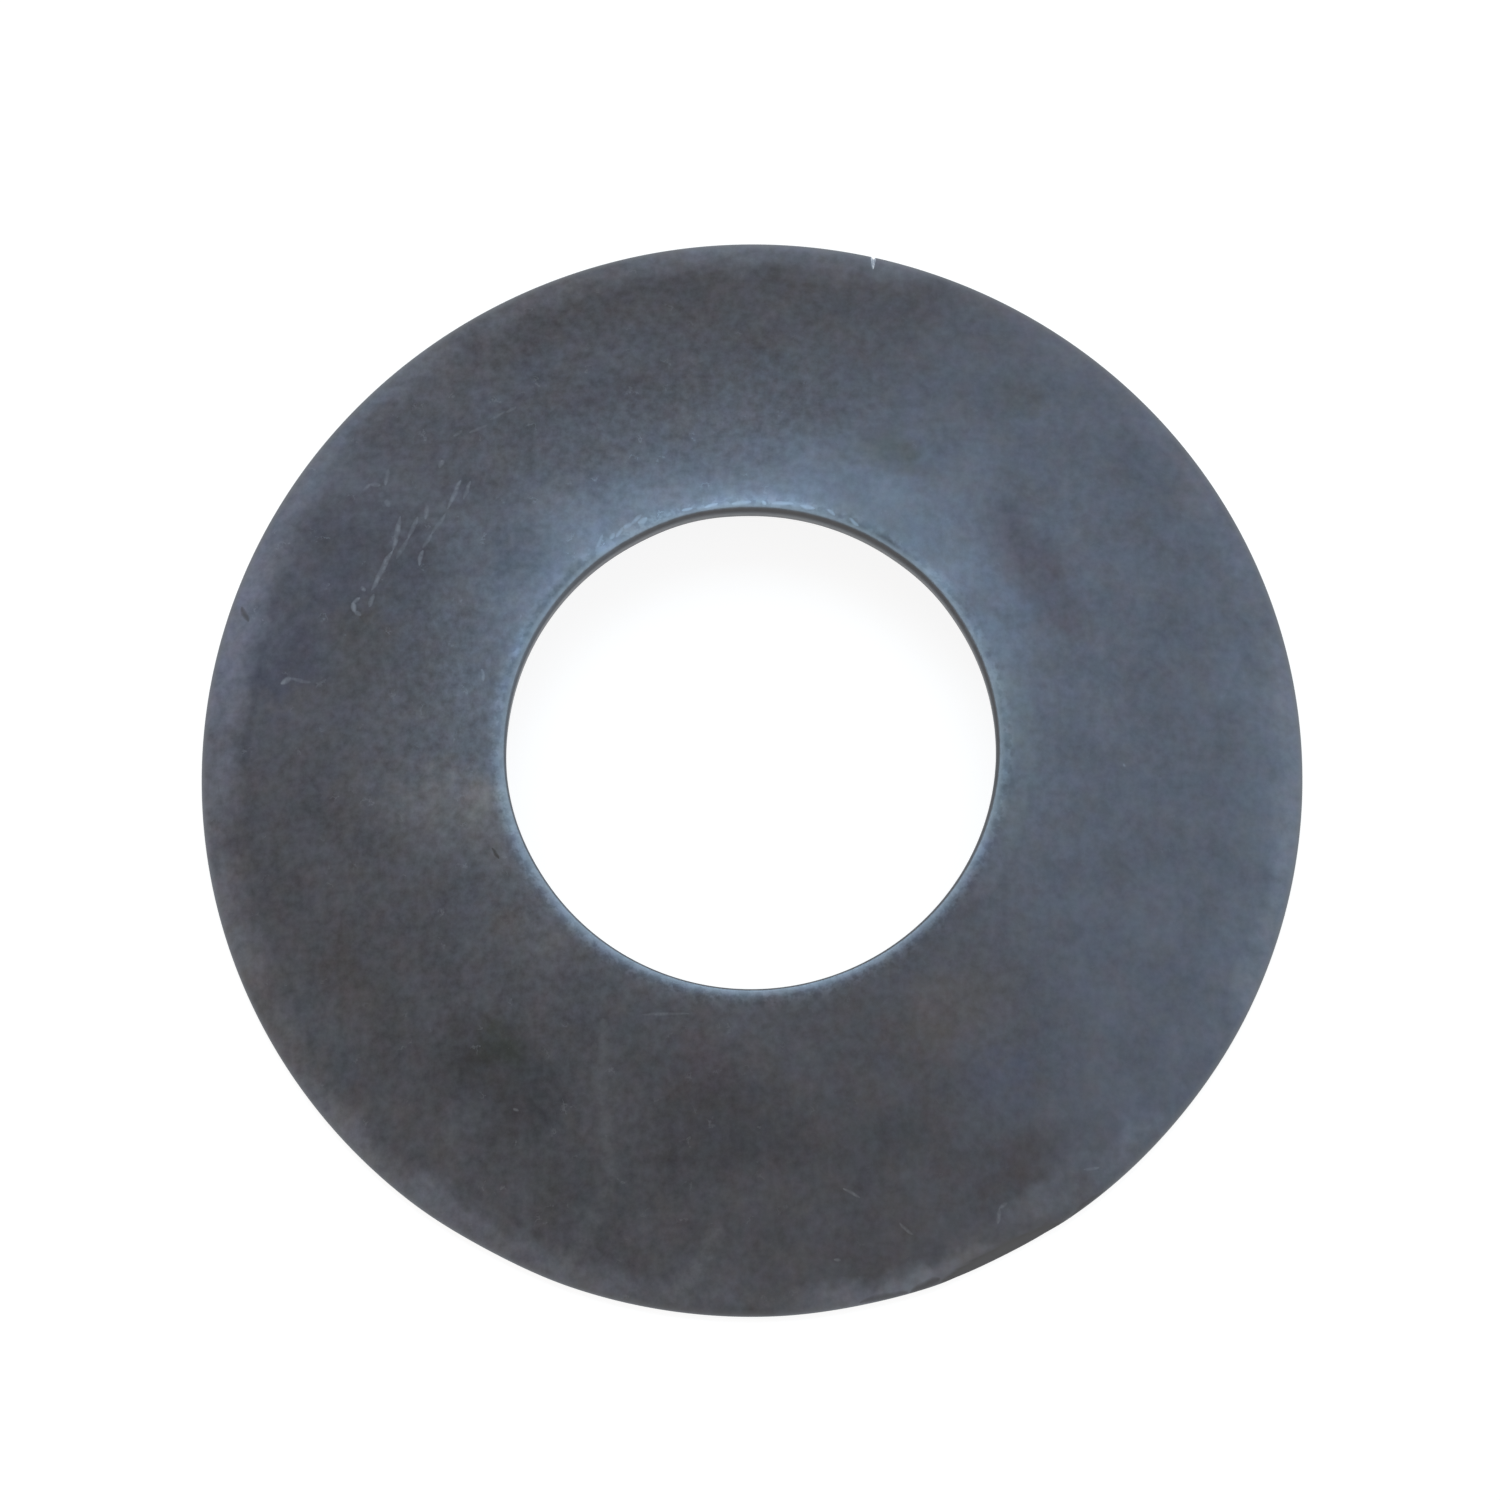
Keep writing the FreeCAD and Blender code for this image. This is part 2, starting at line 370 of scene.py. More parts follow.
# Where masks start and are full: by the value of a cloud, by x in mm, by radius in mm
WARM_RANGE = (-0.3, 0.4)
PURPLE_RANGE = (-0.2, 0.25)
WHOLE_RANGE = (0.1, -0.1)
LEFT_RANGE = (8.0, -8.0)
LIP_SHADE_RANGE = (10.6, 10.1)

# How far the clouds fray the marks: the ovals of stain and painted light in degrees and mm, the strokes
# and dents in mm
OVAL_TURN = 9.0
OVAL_SHIFT = 1.2
STROKE_WAVER = 0.3
DENT_JOLT = 0.9

# Grit dents: cells per mm, share of the cells without a dent, middle colour of the other cells,
# and strength. In cells: the smallest ring, what the largest has more, the line, the open side.
DENT_CELLS = 0.72
DENT_CHANCE = 0.5
DENT_MIDDLE_COLOUR = (0.75, 0.5, 0.0)
DENT_STRENGTH = 0.08
DENT_STRENGTH_LEFT = 0.26
DENT_RING = 0.06
DENT_RING_RANGE = 0.09
DENT_LINE = 0.05
DENT_OPEN_RANGE = (-0.02, 0.03)

# Value of the upper mask below which the skin counts as hidden, and how far its place is moved, in mm
HIDDEN_BELOW = 0.4
HIDDEN_SHIFT = 100.0

# Floor and surroundings
FLOOR_HALF = 3.0
FLOOR_DROP = 0.02 * MM
FLOOR_PALE = (0.8, 0.8, 0.8)
FLOOR_SHADOW_PALE = (0.25, 0.25, 0.25)
WORLD_TONE = (1.0, 0.93, 0.87)

# Softboxes: name, zenith and azimuth in degrees, width, height, brightness of the front, tone
SOFTBOXES = (
    ("back_softbox", 23.0, 94.0, 0.58, 0.50, 4.4, (0.58, 0.82, 1.0)),
    ("right_softbox", 75.0, 16.0, 2.2, 2.2, 0.55, (0.50, 0.75, 1.0)),
    ("left_softbox", 78.0, 142.0, 0.5, 0.9, 0.5, (0.65, 0.80, 1.0)),
)
SOFTBOX_DISTANCE = 0.9

# Camera: the point that it looks at, its sensor's width in mm, and its nearest and farthest view
CAMERA_AIM = (-0.05 * MM, 1.08 * MM, 0.5 * MM)
SENSOR_WIDTH = 36.0
CLIP_START = 0.05
CLIP_END = 10.0


# Wiring of shader nodes

NUMBER = "NodeSocketFloat"
PLACE = "NodeSocketVector"
MIX_UNDER = 6
MIX_OVER = 7
MIX_RESULT = 2


class Bench:
    """Adds nodes to one shader tree and wires them up."""

    def __init__(self, tree):
        self.tree = tree

    def put(self, kind, **settings):
        """New node, with its settings."""
        node = self.tree.nodes.new(kind)
        for name, value in settings.items():
            setattr(node, name, value)
        return node

    def feed(self, socket, value):
        """Wires an output to a socket, or sets the socket's own value."""
        if isinstance(value, bpy.types.NodeSocket):
            self.tree.links.new(value, socket)
        else:
            socket.default_value = value

    def worked(self, kind, operation, values):
        """Outputs of a maths node of one kind, with its values fed in."""
        node = self.put(kind, operation=operation)
        for socket, value in zip(node.inputs, values):
            self.feed(socket, value)
        return node.outputs

    def maths(self, operation, *values):
        """Number from numbers."""
        return self.worked("ShaderNodeMath", operation, values)[0]

    def vector(self, operation, *vectors):
        """Vector from vectors."""
        return self.worked("ShaderNodeVectorMath", operation, vectors)["Vector"]

    def measure(self, operation, *vectors):
        """Number from vectors, such as a length or a dot product."""
        return self.worked("ShaderNodeVectorMath", operation, vectors)["Value"]

    def scaled(self, vector, factor):
        """Vector or colour times a number."""
        node = self.put("ShaderNodeVectorMath", operation="SCALE")
        self.feed(node.inputs[0], vector)
        self.feed(node.inputs["Scale"], factor)
        return node.outputs["Vector"]

    def fade(self, value, start, end):
        """Smooth change from 0 to 1 while the value goes from start to end."""
        node = self.put("ShaderNodeMapRange", interpolation_type="SMOOTHSTEP")
        self.feed(node.inputs["Value"], value)
        self.feed(node.inputs["From Min"], start)
        self.feed(node.inputs["From Max"], end)
        return node.outputs["Result"]

    def cloud(self, place, shift, fineness, detail, roughness):
        """Cloudy value around zero; fineness is in clouds per unit of the place."""
        node = self.put("ShaderNodeTexNoise", noise_dimensions="2D")
        self.feed(node.inputs["Vector"], self.vector("ADD", place, shift))
        self.feed(node.inputs["Scale"], fineness)
        self.feed(node.inputs["Detail"], detail)
        self.feed(node.inputs["Roughness"], roughness)
        return self.maths("SUBTRACT", node.outputs["Fac"], 0.5)

    def joined(self, x, y):
        """Vector from its x and y."""
        node = self.put("ShaderNodeCombineXYZ")
        self.feed(node.inputs["X"], x)
        self.feed(node.inputs["Y"], y)
        return node.outputs["Vector"]

    def split(self, vector):
        """The x and y of a vector."""
        node = self.put("ShaderNodeSeparateXYZ")
        self.feed(node.inputs[0], vector)
        return node.outputs["X"], node.outputs["Y"]

    def cover(self, mask, under, over, blend="MIX"):
        """Colour under, covered by colour over, or multiplied by it, as far as the mask says."""
        node = self.put("ShaderNodeMix", data_type="RGBA", blend_type=blend)
        self.feed(node.inputs["Factor"], mask)
        self.feed(node.inputs[MIX_UNDER], under)
        self.feed(node.inputs[MIX_OVER], over)
        return node.outputs[MIX_RESULT]

    def painted(self, name):
        """Value of a named mesh attribute."""
        return self.put("ShaderNodeAttribute", attribute_name=name).outputs["Fac"]

    def use(self, group, values):
        """Output of a node group that is given its inputs by name."""
        node = self.put("ShaderNodeGroup", node_tree=group)
        for name, value in values.items():
            self.feed(node.inputs[name], value)
        return node.outputs[0]


def new_group(name, inputs):
    """Node group with named inputs and one mask: the group, its bench, its inputs and its mask."""
    group = bpy.data.node_groups.new(name, "ShaderNodeTree")
    for label, kind in inputs.items():
        group.interface.new_socket(name=label, in_out="INPUT", socket_type=kind)
    group.interface.new_socket(name="Mask", in_out="OUTPUT", socket_type=NUMBER)
    bench = Bench(group)
    given = bench.put("NodeGroupInput").outputs
    mask = bench.put("NodeGroupOutput").inputs["Mask"]
    return group, bench, given, mask


def oval_mark_group():
    """Mask of an oval mark, strongest in its middle; in the fitted place its border is a circle."""
    group, bench, given, mask = new_group(
        "oval_mark", {"Place": PLACE, "Fit scale": PLACE, "Fit shift": PLACE, "Strength": NUMBER}
    )
    oval = bench.put("ShaderNodeTexGradient", gradient_type="SPHERICAL")
    local = bench.vector("MULTIPLY_ADD", given["Place"], given["Fit scale"], given["Fit shift"])
    bench.feed(oval.inputs["Vector"], local)
    bench.feed(mask, bench.maths("MULTIPLY", oval.outputs["Fac"], given["Strength"]))
    return group


def stroke_group():
    """Mask of a stroke: strongest between its ends, gone where the way round by both gets longer."""
    group, bench, given, mask = new_group(
        "stroke", {"Place": PLACE, "Start": PLACE, "End": PLACE, "Fall": NUMBER, "Peak": NUMBER}
    )
    to_start = bench.measure("DISTANCE", given["Place"], given["Start"])
    to_end = bench.measure("DISTANCE", given["Place"], given["End"])
    way = bench.maths("ADD", to_start, to_end)
    bench.feed(mask, bench.maths("MULTIPLY_ADD", way, given["Fall"], given["Peak"]))
    return group


def grit_dent_group():
    """Mask of small scattered broken rings, as hard grit leaves them."""
    group, bench, given, mask = new_group("grit_dent", {"Place": PLACE, "Whole": NUMBER})
    cells = bench.put("ShaderNodeTexVoronoi", voronoi_dimensions="2D")
    bench.feed(cells.inputs["Vector"], given["Place"])
    cells.inputs["Scale"].default_value = DENT_CELLS
    chance = bench.put("ShaderNodeSeparateColor")
    bench.feed(chance.inputs["Color"], cells.outputs["Color"])
    ring = bench.maths("MULTIPLY_ADD", chance.outputs["Green"], DENT_RING_RANGE, DENT_RING)
    off_ring = bench.maths("ABSOLUTE", bench.maths("SUBTRACT", cells.outputs["Distance"], ring))
    ring_line = bench.fade(off_ring, DENT_LINE, 0.0)
    there = bench.maths("GREATER_THAN", chance.outputs["Red"], DENT_CHANCE)

    # Each ring is open on a side of its own
    from_middle = bench.vector("SUBTRACT", given["Place"], cells.outputs["Position"])
    facing = bench.vector("SUBTRACT", cells.outputs["Color"], DENT_MIDDLE_COLOUR)
    open_side = bench.fade(bench.measure("DOT_PRODUCT", from_middle, facing), *DENT_OPEN_RANGE)
    dent = bench.maths("MULTIPLY", ring_line, bench.maths("MULTIPLY", there, open_side))
    bench.feed(mask, bench.maths("MULTIPLY", dent, given["Whole"]))
    return group


# Section of the ring


def at(centre, radius, tilt):
    """Point of a circle in the section plane; tilt is measured from straight up towards outside."""
    return (centre[0] + radius * math.sin(tilt), centre[1] + radius * math.cos(tilt))


def tilt_of(centre, point):
    """Tilt of a point as seen from a centre."""
    return math.atan2(point[0] - centre[0], point[1] - centre[1])


def arc(centre, start, end, steps):
    """Points of an arc about a centre, the short way round, without its last point."""
    radius = math.hypot(start[0] - centre[0], start[1] - centre[1])
    first = tilt_of(centre, start)
    turn = (tilt_of(centre, end) - first + math.pi) % (2.0 * math.pi) - math.pi
    return [at(centre, radius, first + turn * step / steps) for step in range(steps)]


def line(start, end, steps):
    """Points of a straight run, without its last point."""
    across = end[0] - start[0]
    up = end[1] - start[1]
    return [(start[0] + across * step / steps, start[1] + up * step / steps) for step in range(steps)]


def rounded(start, corner, end, steps):
    """Points of a rounded corner, tangent to both of its sides, without its last point."""
    points = []
    for step in range(steps):
        share = step / steps
        towards_corner = Vector(start).lerp(Vector(corner), share)
        from_corner = Vector(corner).lerp(Vector(end), share)
        points.append(tuple(towards_corner.lerp(from_corner, share)))
    return points


class Section:
    """Section of the ring: its points, and how upper and how sheared each one is."""

    def __init__(self, sizes, lip_rounding, draw_width, draw_depth):
        self.sizes = sizes
        self.draw_width = draw_width
        self.draw_depth = draw_depth
        crown = sizes.crown_radius
        hollow = crown - sizes.sheet
        ball = (0.0, 0.0)
        roll_tilt = math.asin((sizes.outer_radius - sizes.roll_width) / crown)
        roll = at(ball, crown - sizes.roll_radius, roll_tilt)
        crown_end = at(ball, crown, roll_tilt)
        corner_tilt = math.asin((sizes.outer_radius - sizes.rim_break - roll[0]) / sizes.roll_radius)
        corner_top = at(roll, sizes.roll_radius, corner_tilt)
        corner = (sizes.outer_radius, corner_top[1] - math.tan(corner_tilt) * sizes.rim_break)
        corner_side = (sizes.outer_radius, corner_top[1] - sizes.rim_break)
        wall_tilt = tilt_of(ball, corner_side)
        wall_foot = at(ball, hollow + sizes.foot_break, wall_tilt)
        foot_under = at(ball, hollow, wall_tilt - sizes.foot_break / hollow)
        land_under_r = sizes.hole_radius + sizes.land_break
        land_under = (land_under_r, math.sqrt(hollow ** 2 - land_under_r ** 2))
        land_corner = (sizes.hole_radius, land_under[1])
        land_foot = (sizes.hole_radius, land_under[1] + sizes.land_break)
        lip_r = sizes.hole_radius + lip_rounding
        lip = (lip_r, math.sqrt((crown - lip_rounding) ** 2 - lip_r ** 2))
        land_top = (sizes.hole_radius, lip[1])
        lip_top = at(lip, lip_rounding, tilt_of(ball, lip))
        drawn_radius = sizes.hole_radius + FINE_BAND * sizes.tight_draw_width
        drawn_end = at(ball, crown, math.asin(drawn_radius / crown))
        self.roll = roll
        self.corner_tilt = corner_tilt
        self.lift = -min(wall_foot[1], foot_under[1])

        # Each run: points, then upper at its start and end, then sheared at its start and end.
        # Sheared is cut off at 0, so an end below 0 makes it fade out early.
        runs = (
            (arc(ball, lip_top, drawn_end, 20), 1.0, 1.0, 0.45, -2.0),
            (arc(ball, drawn_end, crown_end, 48), 1.0, 1.0, 0.0, 0.0),
            (arc(roll, crown_end, corner_top, 14), 1.0, 1.0, 0.0, 0.0),
            (rounded(corner_top, corner, corner_side, 7), 1.0, 1.0, 0.0, 1.0),
            (line(corner_side, wall_foot, 4), 1.0, 0.5, 1.0, 1.0),
            (line(wall_foot, foot_under, 3), 0.5, 0.0, 1.0, 0.0),
            (arc(ball, foot_under, land_under, 26), 0.0, 0.0, 0.0, 0.0),
            (rounded(land_under, land_corner, land_foot, 4), 0.0, 0.0, 0.0, 1.0),
            (line(land_foot, land_top, 4), 0.0, 0.5, 1.0, 1.0),
            (arc(lip, land_top, lip_top, 9), 0.5, 1.0, 1.0, 0.45),
        )
        self.points = []
        self.upper = []
        self.sheared = []
        for points, upper_start, upper_end, sheared_start, sheared_end in runs:
            for step, (radius, height) in enumerate(points):
                share = step / len(points)
                upper = upper_start + (upper_end - upper_start) * share
                sheared = sheared_start + (sheared_end - sheared_start) * share
                drawn = self.sink(radius) * min(1.0, 2.0 * upper)
                self.points.append((radius, height + self.lift - drawn))
                self.upper.append(upper)
                self.sheared.append(max(0.0, min(1.0, sheared)))

    def sink(self, radius):
        """How far the piercing punch drew the upper side down at a radius."""
        share = (self.sizes.hole_radius + self.draw_width - radius) / self.draw_width
        return self.draw_depth * max(0.0, share) ** 3

    def roll_height(self, radius):
        """Height of the upper side in the rolled band."""
        width = radius - self.roll[0]
        return self.lift + self.roll[1] + math.sqrt(self.sizes.roll_radius ** 2 - width ** 2)


def spoke(direction):
    """Unit vector outwards in plan."""
    return Vector((math.cos(direction), math.sin(direction), 0.0))


def ring_directions(wear):
    """Directions of the ring's columns: even all round, with finer ones across the nick."""
    reach = math.radians(NICK_COLUMNS_REACH)
    start = wear.nick_direction - reach
    end = wear.nick_direction + reach
    fine_steps = round((end - start) / math.radians(NICK_COLUMN_STEP))
    across = [start + (end - start) * step / fine_steps for step in range(fine_steps)]
    rest = 2.0 * math.pi - (end - start)
    coarse_steps = round(rest / math.radians(COLUMN_STEP))
    return across + [end + rest * step / coarse_steps for step in range(coarse_steps)]


def hollow_depth(direction, hollows):
    """Depth of the outline's hollows in one direction, in metres."""
    depth = 0.0
    for middle, spread, deepest in hollows:
        off = (direction - math.radians(middle) + math.pi) % (2.0 * math.pi) - math.pi
        share = min(1.0, abs(off) / math.radians(spread))
        depth += deepest * MM * math.cos(0.5 * math.pi * share) ** 2
    return depth


class RimDamage:
    """Moves points of the new ring to where they lie on the worn one."""

    def __init__(self, section, wear):
        self.section = section
        self.wear = wear
        outer = section.sizes.outer_radius
        flat_radius = outer - wear.flat_width
        self.flat_point = spoke(wear.flat_direction) * flat_radius
        self.flat_point.z = section.roll_height(flat_radius)
        self.flat_out = spoke(wear.flat_direction) * math.sin(wear.flat_slope)
        self.flat_out.z = math.cos(wear.flat_slope)
        nick_inner = outer - wear.nick_length
        self.nick_start = spoke(wear.nick_direction) * nick_inner
        self.nick_start.z = section.roll_height(nick_inner)
        fall = section.corner_tilt + wear.nick_dip
        heading = wear.nick_direction + wear.nick_skew
        self.nick_way = spoke(heading) * math.cos(fall)
        self.nick_way.z = -math.sin(fall)
        self.nick_across = spoke(heading + 0.5 * math.pi)
        self.nick_rise = self.nick_way.cross(self.nick_across)

    def outline(self, direction, radius):
        """Radius with the hollows of the outline, which fade out away from the two edges."""
        sizes = self.section.sizes
        near_rim = max(0.0, 1.0 - (sizes.outer_radius - radius) / HOLLOW_FADE)
        near_hole = max(0.0, 1.0 - (radius - sizes.hole_radius) / HOLLOW_FADE)
        radius -= hollow_depth(direction, RIM_HOLLOWS) * near_rim ** 2
        return radius + hollow_depth(direction, HOLE_HOLLOWS) * near_hole ** 2

    def flatten(self, point):
        """Point pressed onto the flattened stretch, and how far it moved."""
        over = (point - self.flat_point).dot(self.flat_out)
        softness = self.wear.flat_softness
        if over < -FLAT_SOFT_END * softness:
            return point, 0.0
        pressed = 0.5 * (over + math.sqrt(over ** 2 + softness ** 2))
        return point - self.flat_out * pressed, pressed

    def nick(self, point):
        """Point pressed into the nick, and how far it moved."""
        offset = point - self.nick_start
        above = offset.dot(self.nick_rise) - abs(offset.dot(self.nick_across)) * self.wear.nick_slope
        along = offset.dot(self.nick_way)
        size = self.wear.nick_length
        if above <= 0.0 or along < -size or offset.length > NICK_REACH * size:
            return point, 0.0
        return point - self.nick_rise * above, above


def paint(mesh, name, values):
    """Stores one value per vertex under a name."""
    layer = mesh.attributes.new(name, "FLOAT", "POINT")
    layer.data.foreach_set("value", values)


def ring_mesh(sizes, wear):
    """Closed mesh of the ring: the section carried round the bore's axis, then worn."""
    section = Section(sizes, sizes.lip_rounding, sizes.draw_width, sizes.draw_depth)
    tight = Section(sizes, sizes.tight_rounding, sizes.tight_draw_width, sizes.tight_draw_depth)
    damage = RimDamage(section, wear)
    directions = ring_directions(wear)
    columns = len(directions)
    rows = len(section.points)
    vertices = []
    upper = []
    sheared = []
    flattened = []
    nicked = []
    for direction in directions:
        out = spoke(direction)
        turned = 1.0 - math.cos(direction - sizes.lip_direction)
        fullness = max(0.0, 1.0 - LIP_SWING * turned)
        for row in range(rows):
            radius, height = Vector(tight.points[row]).lerp(Vector(section.points[row]), fullness)
            worn_radius = damage.outline(direction, radius)
            point = Vector((out.x * worn_radius, out.y * worn_radius, height))
            point, pressed = damage.flatten(point)
            point, carved = damage.nick(point)
            vertices.append(point)
            upper.append(section.upper[row])
            sheared.append(section.sheared[row])
            flattened.append(min(1.0, pressed / (FLAT_SHOWS * wear.flat_softness)))
            nicked.append(min(1.0, carved / NICK_SHOWS))
    faces = []
    for column in range(columns):
        first = column * rows
        second = (column + 1) % columns * rows
        for row in range(rows):
            after = (row + 1) % rows
            faces.append((first + row, first + after, second + after, second + row))
    mesh = bpy.data.meshes.new("pressed_ring")
    mesh.from_pydata(vertices, [], faces)
    mesh.shade_smooth()
    paint(mesh, "upper", upper)
    paint(mesh, "sheared", sheared)
    paint(mesh, "flattened", flattened)
    paint(mesh, "nicked", nicked)
    mesh.validate()
    return mesh


# Finish


def rgba(linear):
    """Linear colour with full alpha."""
    return (*linear, 1.0)


def oval_values(place, mark):
    """Inputs of the oval mark's group for one stain."""
    direction, radius, spread, half_width, strength, _ = mark
    return {
        "Place": place,
        "Fit scale": (1.0 / spread, 1.0 / half_width, 0.0),
        "Fit shift": (-direction / spread, -radius / half_width, 0.0),
        "Strength": strength,
    }


def stroke_values(place, stroke):
    """Inputs of the stroke's group for one stroke of the list, whose strength falls to 0 at its half
    width.
    """
    start_x, start_y, end_x, end_y, half_width, strength = stroke
    along = math.hypot(end_x - start_x, end_y - start_y)
    fall = abs(strength) / (math.hypot(along, 2.0 * half_width) - along)
    return {
        "Place": place,
        "Start": (start_x, start_y, 0.0),
        "End": (end_x, end_y, 0.0),
        "Fall": -fall,
        "Peak": abs(strength) + fall * along,
    }


def plan_place(bench):
    """Place in plan, in mm. On the hidden side it is moved far away, so no mark shows there."""
    metres = bench.put("ShaderNodeTexCoord").outputs["Object"]
    x, y = bench.split(bench.scaled(metres, 1.0 / MM))
    hidden = bench.maths("LESS_THAN", bench.painted("upper"), HIDDEN_BELOW)
    return bench.joined(bench.maths("MULTIPLY_ADD", hidden, HIDDEN_SHIFT, x), y)


def clouded(bench, finish, clouds, leftwards):
    """Colour of the skin with its clouds, and a grain that gets rougher towards the left."""
    warmth = bench.fade(clouds["warm"], *WARM_RANGE)
    colour_now = bench.cover(warmth, rgba(finish.blue_grey), rgba(finish.brown_grey))
    purple = bench.fade(clouds["green"], *PURPLE_RANGE)
    colour_now = bench.cover(purple, colour_now, rgba(PURPLE_TINT), "MULTIPLY")
    contrast = bench.maths("MULTIPLY_ADD", leftwards, GRAIN_CONTRAST_LEFT, GRAIN_CONTRAST)
    level = bench.maths("ADD", bench.maths("MULTIPLY", clouds["grain"], contrast), 1.0)
    level = bench.maths("MULTIPLY_ADD", clouds["patch"], PATCH_CONTRAST, level)
    return bench.scaled(colour_now, level)


def stains_and_painted_light(bench, colour_now, place, clouds):
    """Colour with the stains, and the painted highlights and painted shade along the rim and around the
    hole, whose borders the clouds fray.
    """
    x, y = bench.split(place)
    direction = bench.maths("DEGREES", bench.maths("ARCTAN2", y, x))
    direction = bench.maths("MULTIPLY_ADD", clouds["warm"], OVAL_TURN, direction)
    direction = bench.maths("WRAP", direction, SEAM + 360.0, SEAM)
    radius = bench.measure("LENGTH", place)
    radius = bench.maths("MULTIPLY_ADD", clouds["patch"], OVAL_SHIFT, radius)
    polar = bench.joined(direction, radius)
    oval = oval_mark_group()
    # Each oval multiplies the colour by its tint; along the rim and around the hole that tint is painted
    # highlight and painted shade
    for mark in STAINS_AND_PAINTED_LIGHT:
        mask = bench.use(oval, oval_values(polar, mark))
        colour_now = bench.cover(mask, colour_now, rgba(mark[-1]), "MULTIPLY")
    return colour_now


def lip_painted_shade(bench, colour_now, place, whole):
    """Colour with painted shade in patches along the lip, which breaks up the lip's highlight."""
    near_lip = bench.fade(bench.measure("LENGTH", place), *LIP_SHADE_RANGE)
    worn = bench.maths("MULTIPLY", near_lip, whole)
    # Painted shade: darker patches along the lip
    return bench.cover(worn, colour_now, rgba(LIP_SHADE_TINT), "MULTIPLY")


def stroke_masks_with_painted_light(bench, place, clouds, whole):
    """Mask of the bright scratches and painted glints, broken up, and mask of the dark ticks and painted
    shade; both waver.
    """
    shift = bench.joined(clouds["warm"], clouds["patch"])
    waver = (STROKE_WAVER, STROKE_WAVER, 0.0)
    wavering = bench.vector("MULTIPLY_ADD", shift, waver, place)
    stroke = stroke_group()
    bright = 0.0
    dark = 0.0
    for scratch in SCRATCHES_AND_PAINTED_LIGHT:
        mask = bench.use(stroke, stroke_values(wavering, scratch))
        if scratch[-1] > 0.0:
            bright = bench.maths("MAXIMUM", mask, bright)
        else:
            dark = bench.maths("MAXIMUM", mask, dark)
    broken = bench.maths("MULTIPLY_ADD", whole, 0.5, 0.5)
    return bench.maths("MULTIPLY", bright, broken), dark


def dent_mask(bench, place, clouds, whole, leftwards):
    """Mask of the grit dents, which get more distinct towards the left."""
    shift = bench.joined(clouds["gaps"], clouds["grain"])
    jolted = bench.vector("MULTIPLY_ADD", shift, (DENT_JOLT, DENT_JOLT, 0.0), place)
    dents = bench.use(grit_dent_group(), {"Place": jolted, "Whole": whole})
    strength = bench.maths("MULTIPLY_ADD", leftwards, DENT_STRENGTH_LEFT, DENT_STRENGTH)
    return bench.maths("MULTIPLY", dents, strength)


def oxide_material(finish):
    """Blue-grey oxide skin, with clouds, stains, scratches and dull sheared edges, and painted
    highlights, glints and shade along the rim, the lip and the flattened stretch.
    """
    material = bpy.data.materials.new("oxide_steel_worn_painted_light")
    material.use_nodes = True
    material.node_tree.nodes.clear()
    bench = Bench(material.node_tree)
    output = bench.put("ShaderNodeOutputMaterial")
    skin = bench.put("ShaderNodeBsdfPrincipled")
    bench.feed(output.inputs["Surface"], skin.outputs["BSDF"])
    bench.feed(skin.inputs["Metallic"], 1.0)

    # What the finish is mixed from
    place = plan_place(bench)
    leftwards = bench.fade(bench.split(place)[0], *LEFT_RANGE)
    clouds = {name: bench.cloud(place, *shape) for name, shape in CLOUDS.items()}
    whole = bench.fade(clouds["gaps"], *WHOLE_RANGE)

    # The skin, its marks, and painted highlights, glints and shade
    colour_now = clouded(bench, finish, clouds, leftwards)
    colour_now = stains_and_painted_light(bench, colour_now, place, clouds)
    colour_now = lip_painted_shade(bench, colour_now, place, whole)
    bright, dark = stroke_masks_with_painted_light(bench, place, clouds, whole)
    bright = bench.maths("MAXIMUM", bright, dent_mask(bench, place, clouds, whole, leftwards))
    # Bright scratches, grit dents, and painted glints along the lip
    colour_now = bench.cover(bright, colour_now, rgba(finish.scratch_and_glint_steel))

    # Dull sheared edges with painted light, painted shade on the flattened stretch, and bare metal in
    # the nick
    sheared = bench.painted("sheared")
    flattened = bench.painted("flattened")
    # Dull sheared edges get a lighter grey: painted light on their shaded strips
    colour_now = bench.cover(sheared, colour_now, rgba(finish.sheared_grey_painted_light))
    # Painted shade on the flattened stretch
    colour_now = bench.cover(flattened, colour_now, rgba(finish.flat_painted_shade))
    # Dark ticks, and painted shade at the ends of the flattened stretch
    colour_now = bench.cover(dark, colour_now, rgba(finish.tick_and_shade_dark))
    colour_now = bench.cover(bench.painted("nicked"), colour_now, rgba(finish.bare_steel))
    bench.feed(skin.inputs["Base Color"], colour_now)

    # Gloss and unevenness
    dull = bench.maths("MAXIMUM", sheared, flattened)
    rougher = finish.edge_roughness - finish.roughness
    roughness = bench.maths("MULTIPLY_ADD", dull, rougher, finish.roughness)
    roughness = bench.maths("MULTIPLY_ADD", clouds["grain"], GRAIN_GLOSS, roughness)
    bench.feed(skin.inputs["Roughness"], roughness)
    bump = bench.put("ShaderNodeBump")
    bench.feed(bump.inputs["Strength"], 1.0)
    bench.feed(bump.inputs["Distance"], finish.grain)
    bench.feed(bump.inputs["Height"], clouds["grain"])
    bench.feed(skin.inputs["Normal"], bump.outputs["Normal"])
    return material


